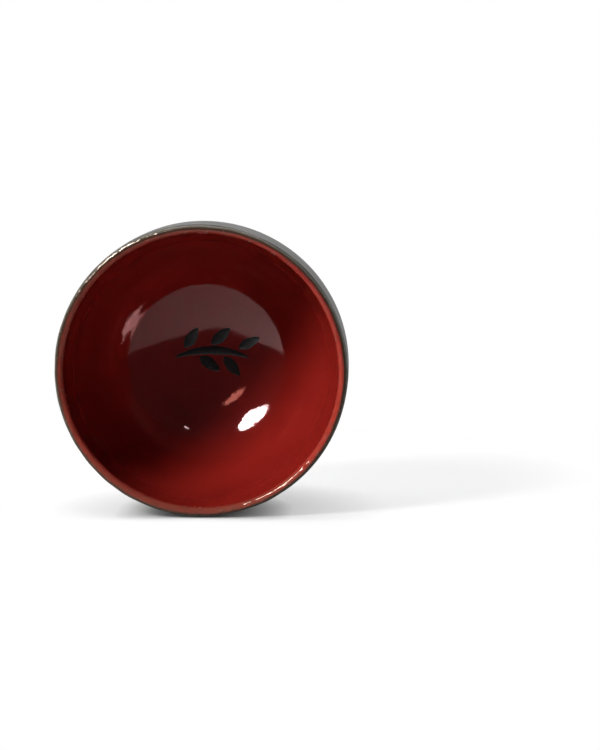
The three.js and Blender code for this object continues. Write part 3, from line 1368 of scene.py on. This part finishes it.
@dataclass
class BrushedSprig(CupPart):
    """A stem and its leaves, one brush stroke each, melted into the glaze of the well.

    A leaf's handles, shares of its length, say where its two sides swell. The sink is how far a stroke
    reaches into the glaze. The crown's power says how soon its relief falls toward its ends: the lower, the
    later.
    """

    finish: BlackPigment = BlackPigment()
    stem_span: float = 25.0
    stem_rise: float = 2.4
    stem_width: float = 2.6
    stem_taper: float = 0.8
    leaf_count: int = 5
    leaf_length: float = 8.0
    leaf_width: float = 3.6
    leaf_angle: float = math.radians(42.0)
    leaf_gap: float = 0.6
    root_handle: float = 0.15
    tip_handle: float = 0.7
    relief: float = 0.06
    crown_power: float = 0.5
    sink: float = 0.03
    blunt_half: float = 0.02
    along_steps: int = 48
    across_steps: int = 17
    stem_edges: Waver = Waver(0.05, 2, 24, 31)
    leaf_edges: Waver = Waver(0.06, 2, 20, 41)

    # The height of the bow's handle, in rises, that lifts the stem's middle by the whole rise.
    BOW_HANDLE = 1.5
    # The most that the two middle shares of a cubic curve add up to.
    CUBIC_PEAK = 0.75
    # The share of the inside, down from the lip, that lies above every stroke.
    UPPER_WALL = 0.5

    def build(self) -> list[bpy.types.Object]:
        """Makes every stroke, dressed in pigment.

        Returns:
            The pieces.
        """
        strokes = {"sprig_stem": self.stem()}
        for index in range(self.leaf_count):
            strokes[f"sprig_leaf_{index + 1}"] = self.leaf(index)
        pigment = self.finish.material()
        return [piece_of(name, maker, pigment) for name, maker in strokes.items()]

    def stem_line(self, share: np.ndarray | float) -> tuple[np.ndarray, np.ndarray]:
        """The bowed stem's middle line, seen upright.

        Args:
            share: shares of the way along it.

        Returns:
            Points and directions there.
        """
        share = np.asarray(share, dtype=float)[..., None]
        half = self.stem_span / 2.0
        low = -self.stem_rise / 2.0
        start = np.array([-half, low])
        bow = np.array([0.0, self.BOW_HANDLE * self.stem_rise])
        end = np.array([half, low])
        point = (1.0 - share) ** 2 * start + 2.0 * share * (1.0 - share) * bow + share**2 * end
        slope = 2.0 * (1.0 - share) * (bow - start) + 2.0 * share * (end - bow)
        return point, slope / np.linalg.norm(slope, axis=-1, keepdims=True)

    def glaze_height(self, radius: np.ndarray, angle: np.ndarray) -> np.ndarray:
        """The height of the liner's face over points of the well.

        Args:
            radius: the points' distances from the axis.
            angle: their turns about it.

        Returns:
            The heights.
        """
        top = self.skin.lip_in + self.UPPER_WALL * (self.skin.end - self.skin.lip_in)
        well = np.flatnonzero(self.skin.along > top)[::-1]
        reach, height = self.skin.line[well].T
        along = np.interp(radius, reach, self.skin.along[well])
        coat = self.form.layer_gap + self.form.liner_coat
        return np.interp(radius, reach, height) + (coat + self.marks.at(self.skin, along, angle))

    @staticmethod
    def outline(rows: np.ndarray) -> np.ndarray:
        """The point numbers round the edge of a grid."""
        return np.concatenate([rows[:-1, 0], rows[-1, :-1], rows[:0:-1, -1], rows[0, :0:-1]])

    def stroke(
        self, middle: np.ndarray, square: np.ndarray, half: np.ndarray, full: np.ndarray
    ) -> MeshMaker:
        """A stroke of pigment on the glaze.

        Args:
            middle: its middle line, seen upright.
            square: the direction across it at each point.
            half: half its width at each point.
            full: the share of the relief that it has at each point.

        Returns:
            The mesh, closed all round.
        """
        maker = MeshMaker()
        across = np.sin(np.linspace(-QUARTER_TURN, QUARTER_TURN, self.across_steps))
        flat = middle[:, None, :] + square[:, None, :] * (half[:, None] * across)[..., None]
        easting, northing = -flat[..., 0], -flat[..., 1]
        ground = self.glaze_height(np.hypot(easting, northing), np.arctan2(northing, easting))
        crown = self.relief * full[:, None] * (1.0 - across**2)
        top = maker.add(np.stack([easting, northing, ground + crown], axis=-1))
        bottom = maker.add(np.stack([easting, northing, ground - self.sink], axis=-1))
        maker.grid(top[::-1], wrap=False)
        maker.grid(bottom, wrap=False)
        maker.grid(np.stack([self.outline(bottom), self.outline(top)]))
        return maker

    def stem(self) -> MeshMaker:
        """The stem, one bowed stroke that tapers to both ends.

        Returns:
            The mesh.
        """
        share = np.linspace(0.0, 1.0, 2 * self.along_steps)
        middle, along = self.stem_line(share)
        square = np.column_stack([-along[:, 1], along[:, 0]])
        swell = np.clip(4.0 * share * (1.0 - share), 0.0, 1.0)
        uneven = 1.0 + self.stem_edges.at(FULL_TURN * share)
        half = self.stem_width / 2.0 * swell**self.stem_taper * uneven + self.blunt_half
        return self.stroke(middle, square, half, swell**self.crown_power)

    def leaf(self, index: int) -> MeshMaker:
        """One leaf, full near its root and drawn out to a tip.

        Args:
            index: its number along the stem, from 0.

        Returns:
            The mesh.
        """
        side = Side.UPPER if index % 2 == 0 else Side.LOWER
        point, along = self.stem_line((index + 1) / (self.leaf_count + 1))
        square = np.array([-along[1], along[0]]) * side.value
        root = point + square * (self.stem_width / 2.0 + self.leaf_gap)
        heading = math.atan2(along[1], along[0]) + side.value * self.leaf_angle
        ahead = np.array([math.cos(heading), math.sin(heading)])
        beside = np.array([-ahead[1], ahead[0]])
        step = np.linspace(0.0, 1.0, self.along_steps)
        early = 3.0 * step * (1.0 - step) ** 2
        late = 3.0 * step**2 * (1.0 - step)
        length = self.leaf_length * (early * self.root_handle + late * self.tip_handle + step**3)
        uneven = 1.0 + self.leaf_edges.at(FULL_TURN * step + index)
        half = (early + late) * self.leaf_width / 2.0 / self.CUBIC_PEAK * uneven + self.blunt_half
        middle = root + length[:, None] * ahead
        full = np.clip(half, 0.0, 1.0) ** self.crown_power
        return self.stroke(middle, np.tile(beside, (len(step), 1)), half, full)


@dataclass(frozen=True)
class PhotoCamera:
    """A camera that looks into the mouth from the photograph's place.

    It stands off the cup's axis by its tilt, toward its lean, which is counted anticlockwise from the right
    of the picture. The mouth's centre falls on the mouth's pixel.
    """

    distance: float = 700.0
    tilt: float = math.radians(7.9)
    lean: float = math.radians(73.0)
    mouth_height: float = 53.35
    mouth_pixel: tuple[float, float] = (200.6, 371.6)
    frame_pixels: tuple[int, int] = (600, 750)
    pixels_per_mm: float = 3.27
    sensor: float = 36.0

    def build(self) -> bpy.types.Object:
        """Makes the scene's camera.

        Returns:
            The camera.
        """
        lean_out = Vector((-math.cos(self.lean), -math.sin(self.lean), 0.0))
        lean_side = Vector((math.sin(self.lean), -math.cos(self.lean), 0.0))
        axis = Vector((0.0, 0.0, 1.0))
        first = math.cos(self.tilt) * lean_out - math.sin(self.tilt) * axis
        back = math.sin(self.tilt) * lean_out + math.cos(self.tilt) * axis
        right = math.cos(self.lean) * first - math.sin(self.lean) * lean_side
        up = math.sin(self.lean) * first + math.cos(self.lean) * lean_side
        shift_right = (self.mouth_pixel[0] - self.frame_pixels[0] / 2.0) / self.pixels_per_mm
        shift_up = (self.frame_pixels[1] / 2.0 - self.mouth_pixel[1]) / self.pixels_per_mm
        mouth = Vector((0.0, 0.0, self.mouth_height))
        place = mouth - shift_right * right - shift_up * up + self.distance * back
        data = bpy.data.cameras.new("photo_camera")
        data.sensor_width = self.sensor
        data.lens = self.pixels_per_mm * self.distance / max(self.frame_pixels) * self.sensor
        made = bpy.data.objects.new("photo_camera", data)
        turn = Matrix((right, up, back)).transposed().to_4x4()
        made.matrix_world = Matrix.Translation(place * METRES) @ turn
        bpy.context.scene.collection.objects.link(made)
        bpy.context.scene.camera = made
        return made


@dataclass(frozen=True)
class Lamp:
    """A soft lamp that faces the cup.

    Its turn is counted anticlockwise from the right as the camera sees the mouth, and its rise is over the
    plane of the rim. Its level is what a white surface that faces it is lit to.
    """

    name: str
    turn_degrees: float
    rise_degrees: float
    size_metres: tuple[float, float]
    level: float
    distance_metres: float = 1.5
    height: float = 35.0
    colour: Colour = WHITE
    shape: LampShape = LampShape.OVAL
    use: LampUse = LampUse.BOTH

    def build(self) -> bpy.types.Object:
        """Makes the lamp.

        Returns:
            The lamp, with the power that its level needs.
        """
        data = bpy.data.lights.new(self.name, "AREA")
        data.shape = self.shape.value
        data.size, data.size_y = self.size_metres
        data.energy = self.level * (math.pi * self.distance_metres) ** 2
        data.color = self.colour
        made = bpy.data.objects.new(self.name, data)
        made.visible_diffuse = self.use is not LampUse.GLOSS
        made.visible_glossy = self.use is not LampUse.MATT
        turn = math.radians(self.turn_degrees)
        rise = math.radians(self.rise_degrees)
        level_way = Vector((-math.cos(turn), -math.sin(turn), 0.0))
        toward = math.cos(rise) * level_way + Vector((0.0, 0.0, math.sin(rise)))
        place = Vector((0.0, 0.0, self.height * METRES)) + self.distance_metres * toward
        facing = toward.to_track_quat("Z", "Y").to_matrix().to_4x4()
        made.matrix_world = Matrix.Translation(place) @ facing
        bpy.context.scene.collection.objects.link(made)
        return made


@dataclass(frozen=True)
class Studio:
    """A white stand on a white floor, a white sheet that the rim touches, soft lamps and a dim room.

    The shadow's centre is the X and Z, on the sheet, of the shadow that the cup throws there. The gleam is
    the room as the cup's gloss shows it.
    """

    form: CupForm
    stand_radius: float = 42.0
    stand_sides: int = 96
    stand_fade: Limits = (26.0, 40.0)
    floor_depth: float = 150.0
    floor_half: float = 3000.0
    sheet_half: float = 2500.0
    sheet_height: float = 180.0
    sheet_bounce: float = 0.54
    # Painted reflection: the greys that the cup's gloss shows of the sheet, brighter toward the cup's +X.
    sheet_mirrored: Limits = (0.27, 0.50)
    shadow_centre: tuple[float, float] = (-25.0, -15.0)
    shadow_fade: Limits = (84.0, 106.0)
    clear: float = 0.3
    room: Colour = (0.011, 0.011, 0.012)
    gleam: Colour = (0.044, 0.042, 0.048)
    lamps: tuple[Lamp, ...] = (
        Lamp("key", 136.5, 31.2, (0.34, 0.26), 1.50, distance_metres=0.9, use=LampUse.MATT),
        Lamp("flash", 134.5, 35.0, (0.385, 0.20), 1.05, distance_metres=0.9, use=LampUse.GLOSS),
        Lamp("flash_heart", 134.5, 35.0, (0.30, 0.31), 1.25, distance_metres=0.9, use=LampUse.GLOSS),
        Lamp("high", 136.0, 65.5, (0.40, 0.13), 0.030, colour=(1.0, 0.42, 0.32), use=LampUse.GLOSS),
        Lamp("spark", 73.0, 40.6, (0.06, 0.06), 0.005, use=LampUse.GLOSS),
        Lamp("overhead", 90.0, 0.0, (1.6, 0.06), 0.50, height=20.0, shape=LampShape.STRIP),
        Lamp("behind", 10.0, 0.0, (1.2, 0.05), 0.10, height=20.0, shape=LampShape.STRIP),
    )

    def build(self) -> None:
        """Makes the stand, the floor, the backdrop, the lamps and the room's light."""
        self.stand()
        self.floor()
        self.backdrop()
        for lamp in self.lamps:
            lamp.build()
        self.room_light()

    def stand(self) -> None:
        """A round white stand under the foot."""
        angle = ring_angles(self.stand_sides)
        edge = ring_points(np.full_like(angle, self.stand_radius), np.full_like(angle, -self.clear), angle)
        self.sheet("stand", edge, StageWhite("stand_white", Fade.OUTWARD, fade_span=self.stand_fade))

    def floor(self) -> None:
        """A wide white floor, well below the stand."""
        half, low = self.floor_half, -self.floor_depth
        corners = np.array([(-half, -half, low), (half, -half, low), (half, half, low), (-half, half, low)])
        self.sheet("floor", corners, StageWhite("floor_white", Fade.ALL))

    def backdrop(self) -> None:
        """An upright white sheet that the rim touches."""
        near = self.form.rim_diameter / 2.0 + self.clear
        wide, low, high = self.sheet_half, -self.floor_depth, self.sheet_height
        corners = np.array([(-wide, near, low), (wide, near, low), (wide, near, high), (-wide, near, high)])
        shadow_across, shadow_height = self.shadow_centre
        white = StageWhite(
            "sheet_white",
            Fade.AROUND,
            bounce=self.sheet_bounce,
            mirrored=self.sheet_mirrored,
            fade_centre=(shadow_across, near, shadow_height),
            fade_span=self.shadow_fade,
            one_way=True,
        )
        self.sheet("sheet", corners, white)

    def sheet(self, name: str, corners: np.ndarray, finish: StageWhite) -> None:
        """A flat sheet of the stage, which throws no shadow.

        Args:
            name: the sheet's name.
            corners: its corners, in order round it.
            finish: its white.
        """
        mesh = bpy.data.meshes.new(name)
        mesh.from_pydata((corners * METRES).tolist(), [], [list(range(len(corners)))])
        mesh.materials.append(finish.material())
        made = bpy.data.objects.new(name, mesh)
        bpy.context.scene.collection.objects.link(made)
        made.visible_shadow = False

    def room_light(self) -> None:
        """A dim room all round, a little brighter in gloss, which the camera sees as white."""
        world = bpy.data.worlds.new("room")
        bpy.context.scene.world = world
        world.use_nodes = True
        graph = Graph(world.node_tree)
        seen = graph.mix(graph.ray(Ray.GLOSS), self.room, self.gleam)
        seen = graph.mix(graph.ray(Ray.CAMERA), seen, WHITE)
        sky = graph.node("ShaderNodeBackground", {}, {"Color": seen}).outputs["Background"]
        graph.node("ShaderNodeOutputWorld", {}, {"Surface": sky})


def main() -> None:
    """Builds the cup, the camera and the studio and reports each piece."""
    logging.basicConfig(level=logging.INFO, format="%(message)s")
    LOG.info("the frame has %d solids", len(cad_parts))
    bpy.context.scene.view_settings.view_transform = "Standard"
    form = CupForm()
    skin = Skin(form)
    marks = HandMarks()
    for part in (ThrownClay, GlazeCoats, BrushedSprig):
        for piece in part(form, skin, marks).build():
            LOG.info("%s: %s, %d faces", part.__name__, piece.name, len(piece.data.polygons))
    PhotoCamera().build()
    Studio(form).build()


if __name__ == "__main__":
    main()
